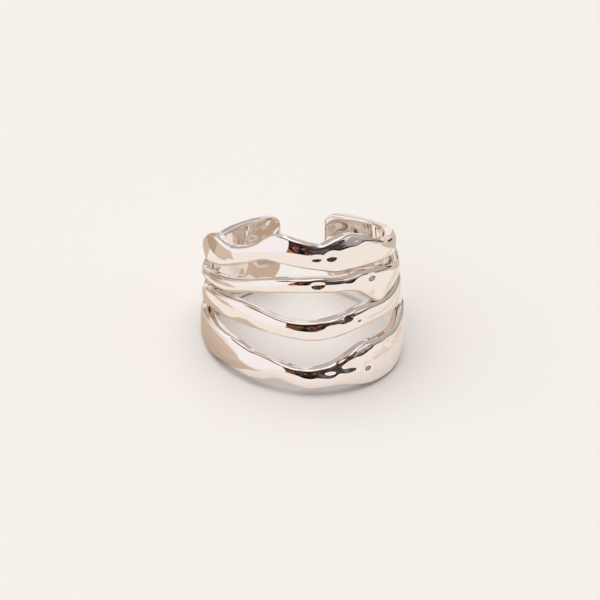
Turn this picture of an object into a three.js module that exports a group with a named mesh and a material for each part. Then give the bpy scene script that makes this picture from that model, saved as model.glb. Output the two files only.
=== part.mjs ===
// An open finger ring, cast in one piece: four wavy strands across the front, with slots
// between them, run together at the sides into one shank that ends in two tabs at the back.
// The ring is worked out round its own axis, with turn 0 at the front and turns in degrees,
// growing towards the wearer's right. It is then leaned over, as it rests on a table.
import * as THREE from 'three';

// Driving sizes in millimetres.
const INNER_DIAMETER = 17.0;
const WALL = 1.2;
const FRONT_HEIGHT = 15.42;
const SHANK_BASE = 3.52;
const SHANK_HEIGHT = 8.3;
const BACK_GAP = 4.7;
const TAB_CORNER_HIGH = 1.2;
const TAB_CORNER_LOW = 2.0;
const OUTER_FILLET = 0.3;
const INNER_FILLET = 0.2;
const END_FILLET = 0.3;
const CROWN = 0.22;
const FLARE = 0.57;
const SIDE_SHIFT = 0.34;
const GROOVE_REACH = 0.4;
const CLOSED_BELOW = 0.06;

// How the ring's axis leans where it rests, in degrees from upright.
const LEAN_BACK = 11.1;
const LEAN_LEFT = 4.6;

// Turns, in degrees, between which the strands run together into the plain shank.
const STRANDS_END = 90;
const SHANK_STARTS = 116;
const COLUMN_STEP = 3.5;

// The strands from the lowest to the top one. Low and high are the edges' heights above the
// lowest wave, as shares of FRONT_HEIGHT. Proud is a share of FLARE and shift of SIDE_SHIFT.
const STRANDS = [
  {
    proud: 1.0,
    shift: 0.12,
    rows: [
      { turn: -88, low: 0.184, high: 0.348 },
      { turn: -78, low: 0.139, high: 0.360 },
      { turn: -70, low: 0.126, high: 0.361 },
      { turn: -60, low: 0.113, high: 0.340 },
      { turn: -50, low: 0.112, high: 0.315 },
      { turn: -40, low: 0.097, high: 0.289 },
      { turn: -30, low: 0.073, high: 0.243 },
      { turn: -24, low: 0.069, high: 0.231 },
      { turn: -13, low: 0.089, high: 0.204 },
      { turn: -5, low: 0.057, high: 0.176 },
      { turn: 3, low: 0.028, high: 0.163 },
      { turn: 10, low: 0.031, high: 0.169 },
      { turn: 18, low: 0.037, high: 0.194 },
      { turn: 25, low: 0.030, high: 0.230 },
      { turn: 32, low: 0.015, high: 0.269 },
      { turn: 39, low: 0.003, high: 0.286 },
      { turn: 47, low: 0.002, high: 0.280 },
      { turn: 55, low: 0.007, high: 0.283 },
      { turn: 63, low: 0.024, high: 0.292 },
      { turn: 70, low: 0.054, high: 0.317 },
      { turn: 78, low: 0.097, high: 0.357 },
      { turn: 88, low: 0.144, high: 0.369 },
    ],
  },
  {
    proud: 0.32,
    shift: -0.25,
    rows: [
      { turn: -88, low: 0.383, high: 0.484 },
      { turn: -76, low: 0.400, high: 0.517 },
      { turn: -63, low: 0.415, high: 0.543 },
      { turn: -50, low: 0.412, high: 0.548 },
      { turn: -37, low: 0.405, high: 0.545 },
      { turn: -24, low: 0.389, high: 0.520 },
      { turn: -12, low: 0.368, high: 0.484 },
      { turn: -3, low: 0.350, high: 0.467 },
      { turn: 6, low: 0.339, high: 0.463 },
      { turn: 15, low: 0.343, high: 0.471 },
      { turn: 24, low: 0.360, high: 0.488 },
      { turn: 32, low: 0.378, high: 0.511 },
      { turn: 41, low: 0.390, high: 0.522 },
      { turn: 50, low: 0.398, high: 0.516 },
      { turn: 60, low: 0.396, high: 0.523 },
      { turn: 70, low: 0.385, high: 0.540 },
      { turn: 80, low: 0.366, high: 0.555 },
      { turn: 88, low: 0.359, high: 0.559 },
    ],
  },
  {
    proud: 0.18,
    shift: -0.54,
    rows: [
      { turn: -88, low: 0.564, high: 0.610 },
      { turn: -76, low: 0.578, high: 0.631 },
      { turn: -62, low: 0.581, high: 0.656 },
      { turn: -48, low: 0.583, high: 0.672 },
      { turn: -36, low: 0.609, high: 0.693 },
      { turn: -24, low: 0.633, high: 0.718 },
      { turn: -12, low: 0.648, high: 0.736 },
      { turn: 0, low: 0.650, high: 0.742 },
      { turn: 9, low: 0.647, high: 0.743 },
      { turn: 20, low: 0.640, high: 0.731 },
      { turn: 29, low: 0.632, high: 0.735 },
      { turn: 34, low: 0.615, high: 0.744 },
      { turn: 38, low: 0.588, high: 0.745 },
      { turn: 43, low: 0.550, high: 0.739 },
      { turn: 48, low: 0.520, high: 0.732 },
      { turn: 52, low: 0.515, high: 0.726 },
      { turn: 58, low: 0.528, high: 0.715 },
      { turn: 68, low: 0.550, high: 0.691 },
      { turn: 78, low: 0.564, high: 0.666 },
      { turn: 88, low: 0.567, high: 0.646 },
    ],
  },
  {
    proud: -0.28,
    shift: -1.0,
    rows: [
      { turn: -88, low: 0.702, high: 0.773 },
      { turn: -80, low: 0.704, high: 0.825 },
      { turn: -71, low: 0.706, high: 0.880 },
      { turn: -65, low: 0.713, high: 0.910 },
      { turn: -59, low: 0.723, high: 0.917 },
      { turn: -53, low: 0.734, high: 0.901 },
      { turn: -46, low: 0.755, high: 0.885 },
      { turn: -37, low: 0.783, high: 0.898 },
      { turn: -29, low: 0.815, high: 0.929 },
      { turn: -22, low: 0.839, high: 0.977 },
      { turn: -14, low: 0.830, high: 1.000 },
      { turn: -4, low: 0.809, high: 0.977 },
      { turn: 4, low: 0.792, high: 0.954 },
      { turn: 11, low: 0.778, high: 0.941 },
      { turn: 19, low: 0.759, high: 0.968 },
      { turn: 28, low: 0.761, high: 0.984 },
      { turn: 39, low: 0.761, high: 0.958 },
      { turn: 51, low: 0.754, high: 0.907 },
      { turn: 63, low: 0.746, high: 0.862 },
      { turn: 75, low: 0.727, high: 0.847 },
      { turn: 88, low: 0.708, high: 0.828 },
    ],
  },
];

// The shank's two edges, above SHANK_BASE, as shares of SHANK_HEIGHT.
const SHANK_LEFT = [
  { turn: -166, low: 0.12, high: 0.975 },
  { turn: -155, low: 0.07, high: 0.975 },
  { turn: -142, low: 0.02, high: 0.965 },
  { turn: -128, low: 0.00, high: 0.955 },
  { turn: -116, low: 0.00, high: 0.945 },
];
const SHANK_RIGHT = [
  { turn: 116, low: 0.00, high: 1.03 },
  { turn: 128, low: 0.00, high: 1.02 },
  { turn: 142, low: 0.02, high: 1.015 },
  { turn: 155, low: 0.07, high: 1.01 },
  { turn: 166, low: 0.12, high: 1.005 },
];

// Where the strands' seams would lie across the shank, as shares of its height, from the
// lower edge to the top one. Strands that run together overlap by this height.
const SEAM_SHARES = [0, 0.28, 0.61, 0.86, 1];
const SEAM_OVERLAP = 0.9;

// Angles round a strand's edge fillet, and round the fillet of a tab's end, at which there is
// a point, and the places of the columns along a tab's corner, as shares of its length.
const FILLET_ANGLES = [0, 45, 90];
const END_ANGLES = [0, 30, 60, 90];
const CORNER_SHARES = [0.3, 0.6, 1];

// A fillet takes up this share of a strand's half height at most.
const FILLET_LIMIT = 0.5;

const radians = THREE.MathUtils.degToRad;
const outerRadius = INNER_DIAMETER / 2 + WALL;
const middleRadius = outerRadius - WALL / 2;
const endTurn = 180 - THREE.MathUtils.radToDeg(Math.asin(BACK_GAP / 2 / middleRadius));

// A smooth curve through one column of a table, as a function of the turn.
function smoothCurve(rows, column) {
  const turns = rows.map((row) => row.turn);
  const values = rows.map((row) => row[column]);
  const last = rows.length - 1;
  const rise = (i) => (values[i + 1] - values[i]) / (turns[i + 1] - turns[i]);
  const slopes = values.map((value, i) => {
    if (i === 0) return rise(0);
    if (i === last) return rise(last - 1);
    const before = turns[i] - turns[i - 1];
    const after = turns[i + 1] - turns[i];
    return (rise(i - 1) * after + rise(i) * before) / (before + after);
  });
  return (turn) => {
    const held = THREE.MathUtils.clamp(turn, turns[0], turns[last]);
    const i = Math.min(turns.findLastIndex((t) => t <= held), last - 1);
    const span = turns[i + 1] - turns[i];
    const u = (held - turns[i]) / span;
    const ends = values[i] * (1 + 2 * u) * (1 - u) ** 2 + values[i + 1] * u * u * (3 - 2 * u);
    return ends + span * (slopes[i] * u * (1 - u) ** 2 - slopes[i + 1] * u * u * (1 - u));
  };
}

// The heights of one strand in the shank, where it overlaps its neighbours.
function shankRows(table, index) {
  const lap = SEAM_OVERLAP / 2;
  return table.map(({ turn, low, high }) => {
    const seam = (share) => SHANK_BASE + SHANK_HEIGHT * (low + (high - low) * share);
    return {
      turn,
      low: seam(SEAM_SHARES[index]) - (index > 0 ? lap : 0),
      high: seam(SEAM_SHARES[index + 1]) + (index < STRANDS.length - 1 ? lap : 0),
    };
  });
}

// Each strand's edges as curves of the turn, in millimetres above the lowest wave.
const edges = STRANDS.map((strand, index) => {
  const front = strand.rows.map(({ turn, low, high }) => ({
    turn,
    low: low * FRONT_HEIGHT,
    high: high * FRONT_HEIGHT,
  }));
  const rows = [...shankRows(SHANK_LEFT, index), ...front, ...shankRows(SHANK_RIGHT, index)];
  return { low: smoothCurve(rows, 'low'), high: smoothCurve(rows, 'high') };
});

// The radius of a strand's outer face, which turns into the shank's at the sides.
function strandRadius(index, turn) {
  const { proud, shift } = STRANDS[index];
  const inShank = THREE.MathUtils.smoothstep(Math.abs(turn), STRANDS_END, SHANK_STARTS);
  const offset = proud * FLARE + shift * SIDE_SHIFT * Math.sin(radians(turn));
  return outerRadius + offset * (1 - inShank);
}

// How far a round corner has dropped at a distance from the edge that it runs up to.
function cornerDrop(distance, radius) {
  const inside = Math.max(radius - distance, 0);
  return radius - Math.sqrt(radius * radius - inside * inside);
}

// The seam or slot above each strand but the top one, at every column: how open it is, from
// 0 to 1, and whether the two edges meet. They meet over two columns in a row or more.
function slotColumns(turns) {
  const slots = turns.map((turn) => STRANDS.slice(1).map((strand, index) => {
    const below = edges[index].high(turn);
    const above = edges[index + 1].low(turn);
    const gap = above - below;
    return {
      openness: THREE.MathUtils.smoothstep(gap, -GROOVE_REACH, GROOVE_REACH),
      closed: gap < CLOSED_BELOW,
      height: (above + below) / 2,
    };
  }));
  const met = (c, k) => c >= 0 && slots[c][k].closed;
  for (let c = 1; c < slots.length; c += 1) {
    for (let k = 0; k < slots[c].length; k += 1) {
      if (met(c - 1, k) && !met(c - 2, k)) slots[c][k].closed = true;
    }
  }
  return slots;
}

// One column of the ring: for each strand, its rows of height, outer and inner radius.
function columnAt(turn, slots) {
  const toEnd = radians(endTurn - Math.abs(turn)) * middleRadius;
  const pinch = cornerDrop(toEnd, END_FILLET);
  const bottom = edges[0].low(turn);
  const top = edges[STRANDS.length - 1].high(turn);
  const cutBottom = bottom + cornerDrop(toEnd, TAB_CORNER_LOW);
  const cutTop = top - cornerDrop(toEnd, TAB_CORNER_HIGH);
  const inTab = (height) => cutBottom + (height - bottom) * (cutTop - cutBottom) / (top - bottom);
  return STRANDS.map((strand, index) => {
    const under = slots[index - 1];
    const over = slots[index];
    const low = inTab(under?.closed ? under.height : edges[index].low(turn));
    const high = inTab(over?.closed ? over.height : edges[index].high(turn));
    const half = (high - low) / 2;
    const radius = strandRadius(index, turn);
    const rows = [];
    const addRow = (fromEdge, angle, side, neighbour, slot) => {
      const openness = slot ? slot.openness : 1;
      const share = 1 - fromEdge / half;
      const meeting = slot ? (strandRadius(neighbour, turn) - radius) / 2 : 0;
      const face = radius + meeting * share ** 2 * (1 - openness);
      const crown = CROWN * share ** 2 * openness;
      const cut = (1 - Math.sin(radians(angle))) * openness;
      rows.push({
        height: side < 0 ? low + fromEdge : high - fromEdge,
        outer: face - Math.max(crown + OUTER_FILLET * cut, pinch),
        inner: face - WALL + Math.max(INNER_FILLET * cut, pinch),
      });
    };
    const fillet = Math.min(OUTER_FILLET, half * FILLET_LIMIT);
    const filletDepth = (angle) => fillet * (1 - Math.cos(radians(angle)));
    for (const angle of FILLET_ANGLES) addRow(filletDepth(angle), angle, -1, index - 1, under);
    addRow(half, 90, -1, index - 1, under);
    for (const angle of FILLET_ANGLES.toReversed()) addRow(filletDepth(angle), angle, 1, index + 1, over);
    return { rows, closedAbove: over ? over.closed : false };
  });
}

// The turns of all columns: even steps, and closer ones in the tabs' rounded ends.
function columnTurns() {
  const toTurn = (distance) => endTurn - THREE.MathUtils.radToDeg(distance / middleRadius);
  const cornerLength = Math.max(TAB_CORNER_LOW, TAB_CORNER_HIGH);
  const fillet = END_ANGLES.map((angle) => END_FILLET * (1 - Math.cos(radians(angle))));
  const corner = CORNER_SHARES.map((share) => END_FILLET + (cornerLength - END_FILLET) * share);
  const tab = [...fillet, ...corner].map(toTurn);
  const reach = tab.at(-1);
  const steps = Math.round(2 * reach / COLUMN_STEP);
  const middle = Array.from({ length: steps + 1 }, (_, i) => -reach + 2 * reach * i / steps);
  return [...tab.slice(0, -1).map((turn) => -turn), ...middle, ...tab.slice(0, -1).toReversed()];
}

// The closed body. Vertices where two strands meet are shared, and the walls of a slot
// are left out where it is closed.
function openBand() {
  const turns = columnTurns();
  const slots = slotColumns(turns);
  const columns = turns.map((turn, c) => columnAt(turn, slots[c]));
  const rowCount = columns[0][0].rows.length;
  const positions = [];
  const triangles = [];
  const numbers = new Map();
  const vertex = (c, s, r, side) => {
    const strands = columns[c];
    const shared = r === 0 && s > 0 && strands[s - 1].closedAbove;
    if (shared) return vertex(c, s - 1, rowCount - 1, side);
    const key = `${c} ${s} ${r} ${side}`;
    if (!numbers.has(key)) {
      const row = strands[s].rows[r];
      const met = r === rowCount - 1 && strands[s].closedAbove;
      const radius = met ? (row[side] + strands[s + 1].rows[0][side]) / 2 : row[side];
      const turn = radians(turns[c]);
      numbers.set(key, positions.length / 3);
      positions.push(radius * Math.sin(turn), -radius * Math.cos(turn), row.height);
    }
    return numbers.get(key);
  };
  const addQuad = (a, b, c, d) => triangles.push(a, b, c, a, c, d);
  const last = turns.length - 1;
  for (let s = 0; s < STRANDS.length; s += 1) {
    for (let c = 0; c < last; c += 1) {
      for (let r = 0; r < rowCount - 1; r += 1) {
        addQuad(vertex(c, s, r, 'outer'), vertex(c + 1, s, r, 'outer'),
          vertex(c + 1, s, r + 1, 'outer'), vertex(c, s, r + 1, 'outer'));
        addQuad(vertex(c, s, r + 1, 'inner'), vertex(c + 1, s, r + 1, 'inner'),
          vertex(c + 1, s, r, 'inner'), vertex(c, s, r, 'inner'));
      }
      const sealedAbove = columns[c][s].closedAbove && columns[c + 1][s].closedAbove;
      if (!sealedAbove) {
        const r = rowCount - 1;
        addQuad(vertex(c, s, r, 'outer'), vertex(c + 1, s, r, 'outer'),
          vertex(c + 1, s, r, 'inner'), vertex(c, s, r, 'inner'));
      }
      const sealedBelow = s > 0 && columns[c][s - 1].closedAbove && columns[c + 1][s - 1].closedAbove;
      if (!sealedBelow) {
        addQuad(vertex(c, s, 0, 'inner'), vertex(c + 1, s, 0, 'inner'),
          vertex(c + 1, s, 0, 'outer'), vertex(c, s, 0, 'outer'));
      }
    }
    for (let r = 0; r < rowCount - 1; r += 1) {
      addQuad(vertex(0, s, r, 'outer'), vertex(0, s, r + 1, 'outer'),
        vertex(0, s, r + 1, 'inner'), vertex(0, s, r, 'inner'));
      addQuad(vertex(last, s, r, 'inner'), vertex(last, s, r + 1, 'inner'),
        vertex(last, s, r + 1, 'outer'), vertex(last, s, r, 'outer'));
    }
  }
  const geometry = new THREE.BufferGeometry();
  geometry.setAttribute('position', new THREE.Float32BufferAttribute(positions, 3));
  geometry.setIndex(triangles);
  geometry.computeVertexNormals();
  return geometry;
}

const polishedSilver = new THREE.MeshStandardMaterial({
  color: new THREE.Color(0.86, 0.84, 0.82),
  roughness: 0.06,
  metalness: 1,
});

// The ring rests on the lowest points of its waves, with its axis leaning.
function restingRing() {
  const band = new THREE.Mesh(openBand(), polishedSilver);
  band.name = 'open_band';
  const upright = new THREE.Vector3(0, 0, 1);
  const axis = new THREE.Vector3(-Math.tan(radians(LEAN_LEFT)), Math.tan(radians(LEAN_BACK)), 1);
  band.quaternion.setFromUnitVectors(upright, axis.normalize());
  band.updateMatrixWorld(true);
  const box = new THREE.Box3().setFromObject(band, true);
  const centre = box.getCenter(new THREE.Vector3());
  band.position.set(-centre.x, -centre.y, -box.min.z);
  return band;
}

const ring = new THREE.Group();
ring.add(restingRing());
export default ring;
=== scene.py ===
"""An open finger ring of polished, lightly hammered metal, resting on a pale floor.

The ring's fine surface follows the frame's solid: it has the same edges, radii and ends, with
more points, and the dents of the hammer are worked into it. It is made round the ring's own
axis, with turn 0 at the front and turns in degrees, and then leaned over as the frame is.
"""

import math

import bpy
import numpy as np
from mathutils import Matrix, Vector


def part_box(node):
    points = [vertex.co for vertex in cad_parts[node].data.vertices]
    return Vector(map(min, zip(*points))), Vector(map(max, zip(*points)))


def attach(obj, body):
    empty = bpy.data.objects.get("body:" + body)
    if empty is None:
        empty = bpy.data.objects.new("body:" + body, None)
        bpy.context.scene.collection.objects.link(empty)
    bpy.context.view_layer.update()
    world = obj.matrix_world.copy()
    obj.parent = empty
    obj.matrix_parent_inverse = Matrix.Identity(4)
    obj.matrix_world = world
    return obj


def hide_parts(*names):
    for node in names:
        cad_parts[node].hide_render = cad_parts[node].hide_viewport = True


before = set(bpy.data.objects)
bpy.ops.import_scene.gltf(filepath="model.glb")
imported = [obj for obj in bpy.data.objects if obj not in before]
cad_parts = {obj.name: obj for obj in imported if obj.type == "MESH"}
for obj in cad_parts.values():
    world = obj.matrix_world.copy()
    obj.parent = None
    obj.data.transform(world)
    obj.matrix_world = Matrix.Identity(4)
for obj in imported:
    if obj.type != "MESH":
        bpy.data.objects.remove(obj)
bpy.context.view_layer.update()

MM = 0.001

# The ring's driving sizes in millimetres.
INNER_DIAMETER = 17.0
WALL = 1.2
FRONT_HEIGHT = 15.42
SHANK_BASE = 3.52
SHANK_HEIGHT = 8.3
BACK_GAP = 4.7
TAB_CORNER_HIGH = 1.2
TAB_CORNER_LOW = 2.0
OUTER_FILLET = 0.3
INNER_FILLET = 0.2
END_FILLET = 0.3
# How far a strand stands out from the shank, and how far it moves out on one side and in on
# the other.
FLARE = 0.57
SIDE_SHIFT = 0.34
# Strands closer than this are joined, and the groove between them fades out over this overlap.
CLOSED_BELOW = 0.06
GROOVE_REACH = 0.4
# The turns where the strands end and where the whole shank starts, and the lean of the ring's
# axis at rest, in degrees.
STRANDS_END = 90
SHANK_STARTS = 116
LEAN_BACK = 11.1
LEAN_LEFT = 4.6

# The hammer leaves each strand's upper part leaning back. For each strand, from the lowest:
# turn, the share of the strand's height where the lean starts, and its angle in degrees.
BEVELS = [
    [(-90, 1.00, 20), (-50, 0.95, 26), (-40, 0.80, 26), (-34, 0.60, 25), (-28, 0.52, 23),
     (-20, 0.56, 21), (-12, 0.74, 20), (-7, 0.82, 20), (-3, 0.79, 19), (0.5, 0.68, 18),
     (6.5, 0.66, 18), (9, 0.70, 18), (13, 0.50, 18), (17, 0.46, 18), (20, 0.62, 18),
     (23, 0.80, 18), (27, 0.92, 19), (33.5, 0.84, 20), (38, 0.88, 21),
     (43, 0.91, 22), (48, 1.00, 24), (75, 1.00, 26)],
    [(-90, 1.00, 20), (-52, 0.95, 26), (-42, 0.80, 25), (-32, 0.66, 23), (-20, 0.58, 21),
     (-12, 0.70, 20), (-8, 0.76, 19), (-4, 0.67, 19), (2, 0.63, 18), (9, 0.65, 18),
     (11.5, 0.78, 18), (16, 0.89, 18), (19.5, 0.86, 18), (22, 0.77, 18), (24.5, 0.71, 19),
     (26.5, 0.93, 19), (34, 0.93, 20), (55, 1.00, 24)],
    [(-90, 1.00, 20), (-52, 0.90, 26), (-40, 0.66, 25), (-25, 0.62, 22), (-14, 0.70, 20),
     (-7, 0.84, 19), (4, 0.82, 18), (12, 0.92, 18), (20, 0.97, 19), (60, 1.00, 24)],
    [(-90, 1.00, 20), (-42, 0.96, 24), (-34, 0.74, 24), (-24, 0.46, 22), (-14, 0.46, 20),
     (-8, 0.60, 19), (-2, 0.67, 19), (4, 0.72, 18), (9, 0.79, 18), (14, 0.87, 18),
     (18, 0.83, 18), (26, 0.79, 19), (33, 0.86, 20), (40, 0.89, 21), (48, 1.00, 24),
     (70, 1.00, 24)],
]
# The share of a strand's height over which the lean sets in, and how far a strand's face is
# crowned from its middle to its edges, in millimetres.
BEVEL_SOFTNESS = 0.06
FINE_CROWN = 0.12

# Dents of the hammer on the outer face: strand and turn, then in millimetres the height above
# the lowest wave, the half width, the half height and the depth. A negative depth stands out.
OUTER_DENTS = [
    (3, 7.7, 13.35, 0.75, 0.40, 0.060),
    (3, 16.5, 13.42, 0.80, 0.60, 0.085),
    (3, 31.5, 14.65, 1.10, 0.50, 0.100),
    (3, -41.0, 12.7, 1.10, 0.80, -0.060),
    (3, -29.0, 13.0, 1.30, 0.90, 0.060),
    (3, 48.0, 12.8, 1.40, 1.00, 0.030),
    (2, 8.3, 10.85, 0.85, 0.55, 0.105),
    (2, 18.4, 10.3, 0.50, 0.35, 0.045),
    (2, 42.1, 10.75, 0.60, 0.50, 0.140),
    (2, 47.0, 9.0, 1.10, 0.90, 0.040),
    (2, -58.0, 10.3, 1.50, 0.90, 0.060),
    (1, 16.7, 6.9, 0.90, 0.50, -0.050),
    (1, 32.9, 6.90, 0.40, 0.35, 0.080),
    (1, 26.0, 7.2, 0.60, 0.40, 0.040),
    (1, -45.0, 7.2, 1.30, 0.60, 0.050),
    (0, 14.6, 2.50, 1.05, 0.75, -0.190),
    (0, 25.4, 2.35, 1.25, 0.55, 0.130),
    (0, 37.2, 2.10, 0.65, 0.60, 0.190),
    (0, 26.0, 3.3, 0.90, 0.55, -0.040),
    (0, -66.8, 4.1, 0.60, 0.70, 0.130),
    (0, -33.9, 3.2, 0.40, 0.35, -0.030),
    (0, -44.0, 2.6, 2.20, 0.50, -0.060),
]

# Small dents scattered by a fixed seed: strand, first and last turn, how many, and depth.
SEED = 11
OUTER_SCATTER = [
    (0, 44, 85, 26, 0.050),
    (3, 20, 80, 10, 0.018),
    (2, 25, 70, 8, 0.020),
    (0, -85, 20, 16, 0.018),
]
# The same on the shank's outer face, and on the inner face all round, without the strand.
SHANK_SEED = 31
SHANK_SCATTER = [(-166, -84, 34, 0.040), (84, 166, 34, 0.040)]
INNER_SCATTER = [(-166, -112, 14, 0.130), (112, 166, 16, 0.130), (-112, 112, 24, 0.030)]
# The least and greatest half width of a scattered dent, and its height and depth as shares.
STRAND_DENT_WIDTH = (0.5, 1.0)
STRAND_DENT_HEIGHT = (0.6, 1)
SHANK_DENT_WIDTH = (1.2, 2.2)
SHANK_DENT_HEIGHT = (0.7, 1.3)
DENT_DEPTH_SHARE = (0.5, 1)

# The fine grid: columns along the ring, rows on each face, points across a strand's edge.
COLUMNS = 410
FILLET_ROWS = 4
FACE_ROWS = 18
EDGE_POINTS = 3
# The columns in a tab's corner, and the degrees from one to the next in its end fillet.
CORNER_COLUMNS = 16
END_FILLET_STEP = 15
# How much of the columns' spacing is even, and how much draws them to the front.
COLUMN_SPACING = (0.7, 0.3)
# The degrees to either side over which a curve is averaged, the number of curves that are, and
# the weight of the outermost ones.
SMOOTHING = 2.2
SMOOTHING_CURVES = 9
OUTERMOST_WEIGHT = 0.02

# The camera in the ring's own frame: it aims at the axis, looks down on it, and stands off.
CAMERA_AIM = 5.22
CAMERA_DOWN = 22
CAMERA_DISTANCE = 130
CAMERA_LENS = 78
SENSOR_WIDTH = 36
CLIP_START = 0.005
# How far the picture's middle lies from the aim, in pixels of a picture this wide.
PICTURE_WIDTH = 600
PICTURE_SHIFT = (-2.5, 3)

# The metal's tint and roughness vary a little between two values, over clouds and fine wear.
SILVER_TINTS = ((0.93, 0.857, 0.805), (0.98, 0.915, 0.865))
SILVER_ROUGHNESS = (0.02, 0.06)
CLOUD_NOISE = {"Scale": 350.0, "Detail": 3.0}
WEAR_NOISE = {"Scale": 900.0, "Detail": 4.0}

# The floor, and warm cards flat on it that only reflections show, each a little above the
# one before: left, right, front and back edge in metres, and colour. The cards are painted
# reflections of shade: they give the metal the tan and cream of a shaded floor round the ring.
FLOOR_HALF = 1.5
FLOOR_COLOUR = (0.87, 0.85, 0.82)
# Colours of the cards, painted reflections of shade.
TAN_REFLECTED_SHADE = (0.60, 0.49, 0.39)
CREAM_REFLECTED_SHADE = (0.77, 0.71, 0.64)
CARD_LIFT = 0.00005
# Each card is a painted reflection of shade: left of the ring, inside it, and to its right.
CARDS = [
    (-0.400, -0.025, -0.012, 0.300, TAN_REFLECTED_SHADE),
    (-0.060, -0.025, 0.004, 0.050, (0.42, 0.32, 0.23)),
    (-0.025, -0.0165, 0.008, 0.060, TAN_REFLECTED_SHADE),
    (-0.0160, -0.0070, -0.0135, 0.010, TAN_REFLECTED_SHADE),
    (-0.0050, 0.0060, -0.0050, 0.0058, (0.62, 0.50, 0.40)),
    (0.0145, 0.0175, -0.010, 0.015, CREAM_REFLECTED_SHADE),
    (0.0210, 0.0260, -0.010, 0.016, CREAM_REFLECTED_SHADE),
    (0.0140, 0.400, 0.016, 0.300, (0.60, 0.52, 0.44)),
]

# The key light: a soft sun, where it shines from, how wide it is in degrees, and its colour.
SUN_PLACE = (-0.05, 0.08, 0.46)
SUN_SPREAD = 60
SUN_STRENGTH = 1.46
SUN_COLOUR = (1, 0.99, 0.97)

# The surround, which depends on the direction alone. Angles are in degrees: around is the turn
# from the camera's side, growing to the right, and above is the height over the horizon. Each
# pair is the start and end of a smooth step, and a step can fall as well as rise. The camera
# itself sees one plain colour.
PLAIN_SURROUND = (0.87, 0.85, 0.81)
CEILING = {"above": (20, 70), "low": (0.80, 0.78, 0.77), "high": (1.2, 1.2, 1.2)}
GREY_WALL = {
    "around": ((75, 95), (174, 160)),
    "above": (80, 64),
    "colour": (0.48, 0.445, 0.435),
}
# Grey bars behind on the left. Low down they end sooner, so that the rims are grey on the left
# and light further on.
BARS = {
    "spacing": 10.0,
    "edge": (1.5, 3.0),
    "around": (-122, -128),
    "above": (75, 60),
    "whole_above": (20, 28),
    "low_end": (-176.2, -175.4),
    "colour": (0.43, 0.395, 0.385),
}
SOFTBOX = {"around": ((-112, -96), (-13, -16)), "colour": (0.95, 0.94, 0.98)}
TAN_WALL = {
    "around": ((-112, -118), (-165, -150)),
    "above": (25, 15),
    "colour": (0.42, 0.31, 0.23),
}
# A dark beam overhead, which draws a thin line along the strands' upper edges.
BEAM = {"above": ((55, 60), (75, 70)), "aside": (115, 100), "colour": (0.20, 0.085, 0.05)}
# The dark room: tall and black towards the camera, low and grey further to the right.
ROOM = {
    "around": ((-16, -13), (165, 150)),
    "tall": ((-16, -13), (110, 30)),
    "low_top": 12.0,
    "tall_adds": 48.0,
    "top_edge": (1.5, -1.5),
    "black_around": (24, 4),
    "patches": (0.46, 0.52),
    "black": ((0.006, 0.005, 0.005), (0.05, 0.043, 0.043)),
    "grey": (0.05, 0.045, 0.045),
    "light_around": (42, 66),
    "light": ((0.13, 0.12, 0.12), (0.42, 0.385, 0.38)),
}
# Just above the floor the room is dark everywhere, which outlines the grey patches.
OUTLINE = {"above": (8, 3), "colour": (0.012, 0.010, 0.010)}
# An uneven window in the grey part of the room: its middle and half size, around and above.
WINDOW = {
    "middle": (66.0, 36.0),
    "half": (11.0, 14.0),
    "edge": (1.5, 1.3),
    "colour": (0.74, 0.71, 0.70),
}
COPPER = {
    "veins": (0.51, 0.53),
    "around": (22, 10),
    "above": (40, 28),
    "colour": (0.42, 0.15, 0.075),
}
# The noise behind the patches and the veins. It is stretched along the horizon.
NOISE_STRETCH = 0.55
PATCH_NOISE = {"Scale": 0.06, "Detail": 2.0, "Distortion": 0.8}
VEIN_NOISE = {"Scale": 0.12, "Detail": 1.0, "Distortion": 1.2}

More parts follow.
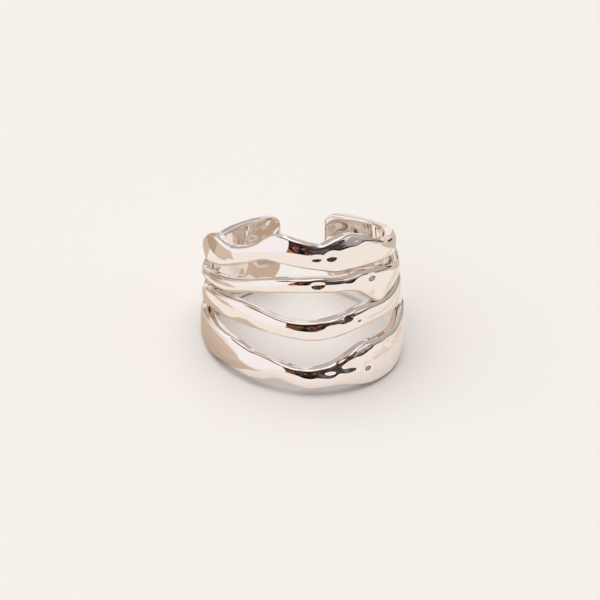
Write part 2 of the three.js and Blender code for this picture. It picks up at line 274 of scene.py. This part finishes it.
# The strands from the lowest to the top one. Low and high are the edges' heights above the
# lowest wave, as shares of FRONT_HEIGHT. Proud is a share of FLARE and shift of SIDE_SHIFT.
STRANDS = [
    {
        "proud": 1.0,
        "shift": 0.12,
        "rows": [
            # turn, low, high
            (-88, 0.184, 0.348),
            (-78, 0.139, 0.360),
            (-70, 0.126, 0.361),
            (-60, 0.113, 0.340),
            (-50, 0.112, 0.315),
            (-40, 0.097, 0.289),
            (-30, 0.073, 0.243),
            (-24, 0.069, 0.231),
            (-13, 0.089, 0.204),
            (-5, 0.057, 0.176),
            (3, 0.028, 0.163),
            (10, 0.031, 0.169),
            (18, 0.037, 0.194),
            (25, 0.030, 0.230),
            (32, 0.015, 0.269),
            (39, 0.003, 0.286),
            (47, 0.002, 0.280),
            (55, 0.007, 0.283),
            (63, 0.024, 0.292),
            (70, 0.054, 0.317),
            (78, 0.097, 0.357),
            (88, 0.144, 0.369),
        ],
    },
    {
        "proud": 0.32,
        "shift": -0.25,
        "rows": [
            (-88, 0.383, 0.484),
            (-76, 0.400, 0.517),
            (-63, 0.415, 0.543),
            (-50, 0.412, 0.548),
            (-37, 0.405, 0.545),
            (-24, 0.389, 0.520),
            (-12, 0.368, 0.484),
            (-3, 0.350, 0.467),
            (6, 0.339, 0.463),
            (15, 0.343, 0.471),
            (24, 0.360, 0.488),
            (32, 0.378, 0.511),
            (41, 0.390, 0.522),
            (50, 0.398, 0.516),
            (60, 0.396, 0.523),
            (70, 0.385, 0.540),
            (80, 0.366, 0.555),
            (88, 0.359, 0.559),
        ],
    },
    {
        "proud": 0.18,
        "shift": -0.54,
        "rows": [
            (-88, 0.564, 0.610),
            (-76, 0.578, 0.631),
            (-62, 0.581, 0.656),
            (-48, 0.583, 0.672),
            (-36, 0.609, 0.693),
            (-24, 0.633, 0.718),
            (-12, 0.648, 0.736),
            (0, 0.650, 0.742),
            (9, 0.647, 0.743),
            (20, 0.640, 0.731),
            (29, 0.632, 0.735),
            (34, 0.615, 0.744),
            (38, 0.588, 0.745),
            (43, 0.550, 0.739),
            (48, 0.520, 0.732),
            (52, 0.515, 0.726),
            (58, 0.528, 0.715),
            (68, 0.550, 0.691),
            (78, 0.564, 0.666),
            (88, 0.567, 0.646),
        ],
    },
    {
        "proud": -0.28,
        "shift": -1.0,
        "rows": [
            (-88, 0.702, 0.773),
            (-80, 0.704, 0.825),
            (-71, 0.706, 0.880),
            (-65, 0.713, 0.910),
            (-59, 0.723, 0.917),
            (-53, 0.734, 0.901),
            (-46, 0.755, 0.885),
            (-37, 0.783, 0.898),
            (-29, 0.815, 0.929),
            (-22, 0.839, 0.977),
            (-14, 0.830, 1.000),
            (-4, 0.809, 0.977),
            (4, 0.792, 0.954),
            (11, 0.778, 0.941),
            (19, 0.759, 0.968),
            (28, 0.761, 0.984),
            (39, 0.761, 0.958),
            (51, 0.754, 0.907),
            (63, 0.746, 0.862),
            (75, 0.727, 0.847),
            (88, 0.708, 0.828),
        ],
    },
]

# The shank's two edges, above SHANK_BASE, as shares of SHANK_HEIGHT: turn, low, high.
SHANK_LEFT = [
    (-166, 0.12, 0.975),
    (-155, 0.07, 0.975),
    (-142, 0.02, 0.965),
    (-128, 0.00, 0.955),
    (-116, 0.00, 0.945),
]
SHANK_RIGHT = [
    (116, 0.00, 1.03),
    (128, 0.00, 1.02),
    (142, 0.02, 1.015),
    (155, 0.07, 1.01),
    (166, 0.12, 1.005),
]
# Where the strands meet in the shank, as shares of the height between its edges, and how far
# they overlap there in millimetres.
SEAM_SHARES = [0, 0.28, 0.61, 0.86, 1]
SEAM_OVERLAP = 0.9

OUTER_RADIUS = INNER_DIAMETER / 2 + WALL
MIDDLE_RADIUS = OUTER_RADIUS - WALL / 2
END_TURN = 180 - math.degrees(math.asin(BACK_GAP / 2 / MIDDLE_RADIUS))
LAST = len(STRANDS) - 1


def smoothstep(value, low, high):
    """A smooth step from 0 at low to 1 at high."""
    share = np.clip((value - low) / (high - low), 0, 1)
    return share * share * (3 - 2 * share)


def smooth_curve(rows, column, turns):
    """A smooth curve through one column of a table, at every turn."""
    known = np.array([row[0] for row in rows], float)
    values = np.array([row[column] for row in rows], float)
    rise = np.diff(values) / np.diff(known)
    span = np.diff(known)
    inner = (rise[:-1] * span[1:] + rise[1:] * span[:-1]) / (span[:-1] + span[1:])
    slopes = np.concatenate([rise[:1], inner, rise[-1:]])
    held = np.clip(turns, known[0], known[-1])
    i = np.clip(np.searchsorted(known, held, side="right") - 1, 0, len(known) - 2)
    u = (held - known[i]) / span[i]
    ends = values[i] * (1 + 2 * u) * (1 - u) ** 2 + values[i + 1] * u * u * (3 - 2 * u)
    return ends + span[i] * (slopes[i] * u * (1 - u) ** 2 - slopes[i + 1] * u * u * (1 - u))


def eased(rows, column, turns):
    """The same curve averaged over a few degrees, so that its bends have no kinks."""
    reach = np.linspace(-1, 1, SMOOTHING_CURVES)
    weights = np.cos(reach * math.pi / 2) ** 2 + OUTERMOST_WEIGHT
    curves = [smooth_curve(rows, column, turns + shift * SMOOTHING) for shift in reach]
    return np.average(curves, axis=0, weights=weights)


def shank_height(row, share):
    """The height in the shank at a share of the way from its low edge to its high one."""
    _, low, high = row
    return SHANK_BASE + SHANK_HEIGHT * (low + (high - low) * share)


def shank_rows(table, index):
    """The edges of one strand in the shank, where it overlaps its neighbours."""
    lap = SEAM_OVERLAP / 2
    rows = []
    for row in table:
        under = shank_height(row, SEAM_SHARES[index]) - (lap if index > 0 else 0)
        over = shank_height(row, SEAM_SHARES[index + 1]) + (lap if index < LAST else 0)
        rows.append((row[0], under, over))
    return rows


def strand_edges(turns):
    """Each strand's low and high edge at every turn, in millimetres above the lowest wave."""
    edges = []
    for index, strand in enumerate(STRANDS):
        front = [(t, low * FRONT_HEIGHT, high * FRONT_HEIGHT) for t, low, high in strand["rows"]]
        rows = shank_rows(SHANK_LEFT, index) + front + shank_rows(SHANK_RIGHT, index)
        edges.append((eased(rows, 1, turns), eased(rows, 2, turns)))
    return edges


def strand_radius(index, turns):
    """The radius of a strand's outer face, which turns into the shank's at the sides."""
    strand = STRANDS[index]
    in_shank = smoothstep(np.abs(turns), STRANDS_END, SHANK_STARTS)
    offset = strand["proud"] * FLARE + strand["shift"] * SIDE_SHIFT * np.sin(np.radians(turns))
    return OUTER_RADIUS + offset * (1 - in_shank)


def corner_drop(distance, radius):
    """How far a round corner has dropped at a distance from the edge that it runs up to."""
    inside = np.maximum(radius - distance, 0)
    return radius - np.sqrt(radius * radius - inside * inside)


def column_turns():
    """The turns of all columns, closer at the front and in the tabs' rounded ends."""
    fillet = END_FILLET * (1 - np.cos(np.radians(np.arange(0, 90, END_FILLET_STEP))))
    corner = END_FILLET + (TAB_CORNER_LOW - END_FILLET) * np.linspace(0, 1, CORNER_COLUMNS)
    tab = END_TURN - np.degrees(np.concatenate([fillet, corner]) / MIDDLE_RADIUS)
    even = np.linspace(-1, 1, COLUMNS - 2 * len(tab) + 2)
    evenly, closer = COLUMN_SPACING
    middle = tab[-1] * (evenly * even + closer * even**3)
    return np.concatenate([-tab[:-1], middle, tab[:-1][::-1]])


def slots_between(edges):
    """For each slot: how open it is, whether its edges meet, and the height they meet at."""
    slots = []
    for index in range(LAST):
        below = edges[index][1]
        above = edges[index + 1][0]
        gap = above - below
        closed = gap < CLOSED_BELOW
        alone = closed & ~np.roll(closed, 1)
        closed = closed | np.roll(alone, 1)
        openness = smoothstep(gap, -GROOVE_REACH, GROOVE_REACH)
        slots.append((openness, closed, (above + below) / 2))
    return slots


def bevel(index, turns, share, tall):
    """How far the hammered upper part of a strand has dropped back, in millimetres."""
    start = eased(BEVELS[index], 1, turns)[:, None]
    lean = np.radians(eased(BEVELS[index], 2, turns))[:, None]
    above = BEVEL_SOFTNESS * np.logaddexp(0, (share - start) / BEVEL_SOFTNESS)
    return np.tan(lean) * tall * above


def strand_dents(index):
    """The dents of one strand's outer face: turn, height, half width, half height, depth."""
    dents = [row[1:] for row in OUTER_DENTS if row[0] == index]
    rng = np.random.default_rng(SEED + index)
    edge_turns = np.arange(-STRANDS_END, STRANDS_END + 1)
    low, high = strand_edges(edge_turns)[index]
    for strand, first, last, count, depth in OUTER_SCATTER:
        for _ in range(count if strand == index else 0):
            turn = rng.uniform(first, last)
            bottom = np.interp(turn, edge_turns, low)
            top = np.interp(turn, edge_turns, high)
            height = rng.uniform(bottom, top)
            width = rng.uniform(*STRAND_DENT_WIDTH)
            tall = width * rng.uniform(*STRAND_DENT_HEIGHT)
            dents.append((turn, height, width, tall, depth * rng.uniform(*DENT_DEPTH_SHARE)))
    return dents


def shank_dents(scatter, seed):
    """Dents scattered over the shank's height, for its inner or outer face."""
    rng = np.random.default_rng(seed)
    dents = []
    for first, last, count, depth in scatter:
        for _ in range(count):
            turn = rng.uniform(first, last)
            height = rng.uniform(SHANK_BASE, SHANK_BASE + SHANK_HEIGHT)
            width = rng.uniform(*SHANK_DENT_WIDTH)
            tall = width * rng.uniform(*SHANK_DENT_HEIGHT)
            dents.append((turn, height, width, tall, depth * rng.uniform(*DENT_DEPTH_SHARE)))
    return dents


def dent_depth(dents, turns, height):
    """How deep the dents are at every point, in millimetres."""
    depth = np.zeros_like(height)
    for turn, level, wide, tall, deep in dents:
        near = np.flatnonzero(np.abs(turns - turn) < math.degrees(wide / MIDDLE_RADIUS))
        along = np.radians(turns[near] - turn)[:, None] * MIDDLE_RADIUS / wide
        away = np.clip(1 - along**2 - ((height[near] - level) / tall) ** 2, 0, 1)
        depth[near] += deep * away**2
    return depth


def strand_sections(turns, edges, slots):
    """The heights and the outer and inner radii of every row of every strand and column."""
    to_end = np.radians(END_TURN - np.abs(turns)) * MIDDLE_RADIUS
    pinch = corner_drop(to_end, END_FILLET)[:, None]
    bottom = edges[0][0]
    top = edges[LAST][1]
    cut_bottom = bottom + corner_drop(to_end, TAB_CORNER_LOW)
    cut_top = top - corner_drop(to_end, TAB_CORNER_HIGH)
    squeeze = (cut_top - cut_bottom) / (top - bottom)
    angles = np.linspace(0, 90, FILLET_ROWS + 1)[:-1]
    angle = np.concatenate([angles, np.full(FACE_ROWS, 90), angles[::-1]])
    fillet_cut = (1 - np.sin(np.radians(angle)))[None, :]
    inner_dents = shank_dents(INNER_SCATTER, SEED)
    sections = []
    for index in range(len(STRANDS)):
        low, high = edges[index]
        open_low = open_high = np.ones(len(turns))
        radius = strand_radius(index, turns)
        meet_low = meet_high = np.zeros(len(turns))
        if index > 0:
            open_low, closed, height = slots[index - 1]
            low = np.where(closed, height, low)
            meet_low = (strand_radius(index - 1, turns) - radius) / 2
        if index < LAST:
            open_high, closed, height = slots[index]
            high = np.where(closed, height, high)
            meet_high = (strand_radius(index + 1, turns) - radius) / 2
        low = cut_bottom + (low - bottom) * squeeze
        high = cut_bottom + (high - bottom) * squeeze
        half = ((high - low) / 2)[:, None]
        fillet = np.minimum(OUTER_FILLET, half / 2)
        # Distances from the lower edge: the lower fillet, the face, and the upper fillet.
        rise = fillet * (1 - np.cos(np.radians(angles)))
        face = np.linspace(0, 1, FACE_ROWS)[None, :] * (2 * half - 2 * fillet) + fillet
        distance = np.concatenate([rise, face, 2 * half - rise[:, ::-1]], axis=1)
        share = np.abs(1 - distance / half)
        lower = distance < half
        openness = np.where(lower, open_low[:, None], open_high[:, None])
        meeting = np.where(lower, meet_low[:, None], meet_high[:, None])
        surface = radius[:, None] + meeting * share**2 * (1 - openness)
        cut = fillet_cut * openness
        drop = FINE_CROWN * share**2 + bevel(index, turns, distance / half / 2, half * 2)
        height = low[:, None] + distance
        outer = surface - np.maximum(drop * openness + OUTER_FILLET * cut, pinch)
        inner = surface - WALL + np.maximum(INNER_FILLET * cut, pinch)
        outer_dents = strand_dents(index) + shank_dents(SHANK_SCATTER, SHANK_SEED)
        outer = outer - dent_depth(outer_dents, turns, height)
        inner = inner + dent_depth(inner_dents, turns, height)
        sections.append({"height": height, "outer": outer, "inner": inner})
    return sections


def strand_loops(sections):
    """The radii and heights round each strand's section: strand, column and point.

    A loop runs up the outer face, in across the top edge, down the inner face and out again.
    """
    across = np.linspace(0, 1, EDGE_POINTS + 2)[1:-1]
    flat = np.ones(EDGE_POINTS)
    radii = []
    heights = []
    for section in sections:
        outer, inner, level = section["outer"], section["inner"], section["height"]
        over = outer[:, -1:] + (inner - outer)[:, -1:] * across
        under = inner[:, :1] + (outer - inner)[:, :1] * across
        radii.append(np.concatenate([outer, over, inner[:, ::-1], under], axis=1))
        loop = [level, level[:, -1:] * flat, level[:, ::-1], level[:, :1] * flat]
        heights.append(np.concatenate(loop, axis=1))
    return np.array(radii), np.array(heights)


def join_strands(radius, slots, top_ring, low_ring):
    """Point numbers, the same for two strands where the slot between them is closed.

    The radius of such a point becomes the middle of the two strands' radii.
    """
    ids = np.arange(radius.size).reshape(radius.shape)
    for s in range(LAST):
        closed = np.flatnonzero(slots[s][1])
        for over, under in zip(top_ring, low_ring):
            middle = (radius[s, closed, over] + radius[s + 1, closed, under]) / 2
            radius[s, closed, over] = middle
            ids[s + 1, closed, under] = ids[s, closed, over]
    return ids


def side_quads(ids, rows, shut_under, shut_over):
    """The quads round one strand, without those where it runs into a neighbour."""
    columns, loop = ids.shape
    quads = []
    for p in range(loop):
        q = (p + 1) % loop
        left = np.arange(columns - 1)
        if rows - 1 <= p < rows + EDGE_POINTS:
            left = left[~(shut_over[:-1] & shut_over[1:])]
        if p >= 2 * rows + EDGE_POINTS - 1:
            left = left[~(shut_under[:-1] & shut_under[1:])]
        corners = [ids[left, p], ids[left + 1, p], ids[left + 1, q], ids[left, q]]
        quads += np.stack(corners, axis=1).tolist()
    return quads


def end_caps(ids, rows, under_points, over_points):
    """The faces that close both ends of one strand, with the points of its free edges."""
    caps = []
    for c, flip in ((0, False), (len(ids) - 1, True)):
        for r in range(rows - 1):
            facing = 2 * rows + EDGE_POINTS - 1 - r
            cap = [ids[c, r], ids[c, r + 1], ids[c, facing - 1], ids[c, facing]]
            if r == 0:
                cap += ids[c, under_points].tolist()
            if r == rows - 2:
                cap[2:2] = ids[c, over_points].tolist()
            caps.append([int(i) for i in (cap[::-1] if flip else cap)])
    return caps


def band_mesh():
    """Vertices and faces of the closed band, and each vertex's turn and height."""
    turns = column_turns()
    edges = strand_edges(turns)
    slots = slots_between(edges)
    sections = strand_sections(turns, edges, slots)
    rows = sections[0]["height"].shape[1]
    radius, height = strand_loops(sections)
    # The points across a strand's top edge, outside to inside, and across its lower edge.
    top_ring = np.arange(rows - 1, rows + EDGE_POINTS + 1)
    low_inside = 2 * rows + EDGE_POINTS - 1
    low_points = np.arange(low_inside + EDGE_POINTS, low_inside, -1)
    low_ring = np.concatenate([[0], low_points, [low_inside]])
    ids = join_strands(radius, slots, top_ring, low_ring)
    never = np.zeros(len(turns), bool)
    nothing = np.zeros(0, int)
    faces = []
    for s in range(len(STRANDS)):
        shut_under = slots[s - 1][1] if s > 0 else never
        shut_over = slots[s][1] if s < LAST else never
        faces += side_quads(ids[s], rows, shut_under, shut_over)
        under_points = low_points[::-1] if s == 0 else nothing
        over_points = top_ring[1:-1] if s == LAST else nothing
        faces += end_caps(ids[s], rows, under_points, over_points)
    turn = np.broadcast_to(turns[None, :, None], radius.shape)
    return radius.ravel(), turn.ravel(), height.ravel(), faces


def rest_rotation():
    """The turn that leans the ring's axis from upright to where it rests."""
    axis = Vector((-math.tan(math.radians(LEAN_LEFT)), math.tan(math.radians(LEAN_BACK)), 1))
    return Vector((0, 0, 1)).rotation_difference(axis)


def hammered_band():
    """The ring's fine mesh, in the place of the frame's solid, and its rest transform."""
    radius, turn, height, faces = band_mesh()
    angle = np.radians(turn)
    points = np.stack([radius * np.sin(angle), -radius * np.cos(angle), height], axis=1) * MM
    used = np.unique(np.concatenate([np.array(face) for face in faces]))
    renumber = np.full(len(points), -1)
    renumber[used] = np.arange(len(used))
    rotation = rest_rotation()
    leaned = points[used] @ np.array(rotation.to_matrix()).T
    low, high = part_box("open_band")
    wanted = np.array([(low.x + high.x) / 2, (low.y + high.y) / 2, low.z])
    lowest, highest = leaned.min(0), leaned.max(0)
    centre = (lowest + highest) / 2
    place = wanted - np.array([centre[0], centre[1], lowest[2]])
    mesh = bpy.data.meshes.new("hammered_band")
    mesh.from_pydata((leaned + place).tolist(), [], [renumber[face].tolist() for face in faces])
    mesh.validate()
    mesh.polygons.foreach_set("use_smooth", [True] * len(mesh.polygons))
    mesh.update()
    band = bpy.data.objects.new("hammered_band", mesh)
    bpy.context.scene.collection.objects.link(band)
    return band, Matrix.Translation(Vector(place)) @ rotation.to_matrix().to_4x4()


def camera_at(rest):
    """The camera, at the photograph's angle to the ring, which leans with its rest."""
    look_down = math.radians(CAMERA_DOWN)
    aim = Vector((0, 0, CAMERA_AIM * MM))
    back = Vector((0, -math.cos(look_down), math.sin(look_down)))
    right = Vector((1, 0, 0))
    up = back.cross(right)
    turned = Matrix((right, up, back)).transposed().to_4x4()
    data = bpy.data.cameras.new("camera")
    data.lens = CAMERA_LENS
    data.sensor_width = SENSOR_WIDTH
    data.shift_x = PICTURE_SHIFT[0] / PICTURE_WIDTH
    data.shift_y = PICTURE_SHIFT[1] / PICTURE_WIDTH
    data.clip_start = CLIP_START
    camera = bpy.data.objects.new("camera", data)
    bpy.context.scene.collection.objects.link(camera)
    place = Matrix.Translation(aim + back * (CAMERA_DISTANCE * MM))
    camera.matrix_world = rest @ place @ turned
    bpy.context.scene.camera = camera
    return camera


def node(tree, kind, inputs=(), **settings):
    """A new shader node with its settings, and with values or links for its inputs."""
    made = tree.nodes.new(kind)
    for name, value in settings.items():
        setattr(made, name, value)
    for key, value in dict(inputs).items():
        if isinstance(value, bpy.types.NodeSocket):
            tree.links.new(value, made.inputs[key])
        else:
            made.inputs[key].default_value = value
    return made


def math_node(tree, operation, first, second=0.0, third=0.0):
    """The output of a math node."""
    made = node(tree, "ShaderNodeMath", {0: first, 1: second, 2: third}, operation=operation)
    return made.outputs[0]


def step(tree, value, low, high):
    """The output of a smooth step of a value from 0 at low to 1 at high."""
    made = node(tree, "ShaderNodeMapRange", {"Value": value, "From Min": low, "From Max": high})
    made.interpolation_type = "SMOOTHSTEP"
    return made.outputs[0]


def mix(tree, share, first, second):
    """The output of a colour mix: first where share is 0, second where it is 1."""
    made = node(tree, "ShaderNodeMix", {0: share}, data_type="RGBA")
    for socket, value in ((made.inputs[6], first), (made.inputs[7], second)):
        if isinstance(value, bpy.types.NodeSocket):
            tree.links.new(value, socket)
        else:
            socket.default_value = (*value, 1)
    return made.outputs[2]


def both(tree, first, second):
    """The product of two shares."""
    return math_node(tree, "MULTIPLY", first, second)


def between(tree, value, rise, fall):
    """A smooth step up and one down again, each given by its start and end."""
    return both(tree, step(tree, value, *rise), step(tree, value, *fall))


def silver():
    """Polished metal, slightly warm."""
    metal = bpy.data.materials.new("polished_silver")
    metal.use_nodes = True
    tree = metal.node_tree
    shader = tree.nodes["Principled BSDF"]
    shader.inputs["Metallic"].default_value = 1
    place = node(tree, "ShaderNodeTexCoord").outputs["Object"]
    cloud = node(tree, "ShaderNodeTexNoise", {"Vector": place, **CLOUD_NOISE})
    tint = mix(tree, cloud.outputs["Fac"], *SILVER_TINTS)
    tree.links.new(tint, shader.inputs["Base Color"])
    wear = node(tree, "ShaderNodeTexNoise", {"Vector": place, **WEAR_NOISE})
    smooth, rough = SILVER_ROUGHNESS
    worn = {"Value": wear.outputs["Fac"], "To Min": smooth, "To Max": rough}
    roughness = node(tree, "ShaderNodeMapRange", worn)
    tree.links.new(roughness.outputs[0], shader.inputs["Roughness"])
    return metal


def pale_surround(tree, around, above):
    """The colours of the ceiling, the walls behind, the softbox and the beam."""
    ceiling = mix(tree, step(tree, above, *CEILING["above"]), CEILING["low"], CEILING["high"])
    wall = between(tree, around, *GREY_WALL["around"])
    wall = both(tree, wall, step(tree, above, *GREY_WALL["above"]))
    colour = mix(tree, wall, ceiling, GREY_WALL["colour"])
    bars = step(tree, math_node(tree, "PINGPONG", above, BARS["spacing"]), *BARS["edge"])
    bars = both(tree, bars, step(tree, around, *BARS["around"]))
    bars = both(tree, bars, step(tree, above, *BARS["above"]))
    whole = step(tree, above, *BARS["whole_above"])
    sooner = step(tree, around, *BARS["low_end"])
    bars = both(tree, bars, math_node(tree, "MAXIMUM", whole, sooner))
    colour = mix(tree, bars, colour, BARS["colour"])
    softbox = between(tree, around, *SOFTBOX["around"])
    colour = mix(tree, softbox, colour, SOFTBOX["colour"])
    tan = between(tree, around, *TAN_WALL["around"])
    tan = both(tree, tan, step(tree, above, *TAN_WALL["above"]))
    colour = mix(tree, tan, colour, TAN_WALL["colour"])
    beam = between(tree, above, *BEAM["above"])
    beam = both(tree, beam, step(tree, math_node(tree, "ABSOLUTE", around), *BEAM["aside"]))
    return mix(tree, beam, colour, BEAM["colour"])


def dark_room(tree, around, above, noise, veins):
    """The colours of the dark room, with its window and its copper veins."""
    patches = step(tree, noise, *ROOM["patches"])
    black = mix(tree, patches, *ROOM["black"])
    light = mix(tree, step(tree, around, *ROOM["light_around"]), *ROOM["light"])
    grey = mix(tree, patches, ROOM["grey"], light)
    grey = mix(tree, step(tree, above, *OUTLINE["above"]), grey, OUTLINE["colour"])
    room = mix(tree, step(tree, around, *ROOM["black_around"]), grey, black)
    aside = []
    for angle, middle, half in zip((around, above), WINDOW["middle"], WINDOW["half"]):
        aside.append(math_node(tree, "DIVIDE", math_node(tree, "SUBTRACT", angle, middle), half))
    beside, over = aside
    apart = math_node(tree, "MULTIPLY_ADD", beside, beside, both(tree, over, over))
    apart = math_node(tree, "ADD", apart, noise)
    room = mix(tree, step(tree, apart, *WINDOW["edge"]), room, WINDOW["colour"])
    copper = both(tree, step(tree, veins, *COPPER["veins"]), step(tree, around, *COPPER["around"]))
    copper = both(tree, copper, step(tree, above, *COPPER["above"]))
    return mix(tree, copper, room, COPPER["colour"])


def studio_world():
    """A plain pale surround, with the darker room that polished metal shows towards the camera."""
    world = bpy.data.worlds.new("studio")
    bpy.context.scene.world = world
    world.use_nodes = True
    tree = world.node_tree
    background = tree.nodes["Background"]
    direction = node(tree, "ShaderNodeTexCoord").outputs["Generated"]
    x, y, z = node(tree, "ShaderNodeSeparateXYZ", {0: direction}).outputs
    towards_camera = math_node(tree, "MULTIPLY", y, -1.0)
    around = math_node(tree, "DEGREES", math_node(tree, "ARCTAN2", x, towards_camera))
    above = math_node(tree, "DEGREES", math_node(tree, "ARCSINE", z))
    stretched = math_node(tree, "MULTIPLY", above, NOISE_STRETCH)
    spread = node(tree, "ShaderNodeCombineXYZ", {0: around, 1: stretched}).outputs[0]
    noise = node(tree, "ShaderNodeTexNoise", {"Vector": spread, **PATCH_NOISE}).outputs["Fac"]
    veins = node(tree, "ShaderNodeTexNoise", {"Vector": spread, **VEIN_NOISE}).outputs["Fac"]
    tall = between(tree, around, *ROOM["tall"])
    top = math_node(tree, "MULTIPLY_ADD", tall, ROOM["tall_adds"], ROOM["low_top"])
    under = step(tree, math_node(tree, "SUBTRACT", above, top), *ROOM["top_edge"])
    dark = both(tree, under, between(tree, around, *ROOM["around"]))
    pale = pale_surround(tree, around, above)
    colour = mix(tree, dark, pale, dark_room(tree, around, above, noise, veins))
    seen = node(tree, "ShaderNodeLightPath").outputs["Is Camera Ray"]
    colour = mix(tree, seen, colour, PLAIN_SURROUND)
    tree.links.new(colour, background.inputs["Color"])
    background.inputs["Strength"].default_value = 1.0
    return world


def soft_sun(name, place, spread, strength, colour):
    """A soft, even light that shines from a place towards the origin."""
    data = bpy.data.lights.new(name, "SUN")
    data.angle = math.radians(spread)
    data.energy = strength
    data.color = colour
    light = bpy.data.objects.new(name, data)
    bpy.context.scene.collection.objects.link(light)
    light.rotation_mode = "QUATERNION"
    light.rotation_quaternion = (-Vector(place)).to_track_quat("-Z", "Y")
    light.visible_glossy = False
    return light


def flat_sheet(name, edges, height, sheet_material, colour):
    """A plain rectangle that lies flat, with a material of its own."""
    left, right, front, back = edges
    corners = [(left, front), (right, front), (right, back), (left, back)]
    mesh = bpy.data.meshes.new(name)
    mesh.from_pydata([(x, y, height) for x, y in corners], [], [(0, 1, 2, 3)])
    material = bpy.data.materials.new(sheet_material)
    material.use_nodes = True
    material.node_tree.nodes["Principled BSDF"].inputs["Base Color"].default_value = (*colour, 1)
    mesh.materials.append(material)
    sheet = bpy.data.objects.new(name, mesh)
    bpy.context.scene.collection.objects.link(sheet)
    return sheet


band, rest = hammered_band()
camera_at(rest)
band.data.materials.append(silver())
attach(band, "root")
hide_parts("open_band")

floor_edges = (-FLOOR_HALF, FLOOR_HALF, -FLOOR_HALF, FLOOR_HALF)
floor = flat_sheet("floor", floor_edges, 0, "pale_floor", FLOOR_COLOUR)
matt = floor.data.materials[0].node_tree.nodes["Principled BSDF"]
matt.inputs["Specular IOR Level"].default_value = 0
# Cards that only glossy rays see: painted reflections of the shade round the ring.
for number, (*card_edges, colour) in enumerate(CARDS):
    lift = CARD_LIFT * (number + 1)
    reflected_shade_card = flat_sheet(f"card_{number}", card_edges, lift, f"paper_{number}", colour)
    reflected_shade_card.visible_camera = reflected_shade_card.visible_diffuse = reflected_shade_card.visible_shadow = False
studio_world()
soft_sun("key", SUN_PLACE, SUN_SPREAD, SUN_STRENGTH, SUN_COLOUR)
bpy.context.scene.view_settings.view_transform = "Standard"
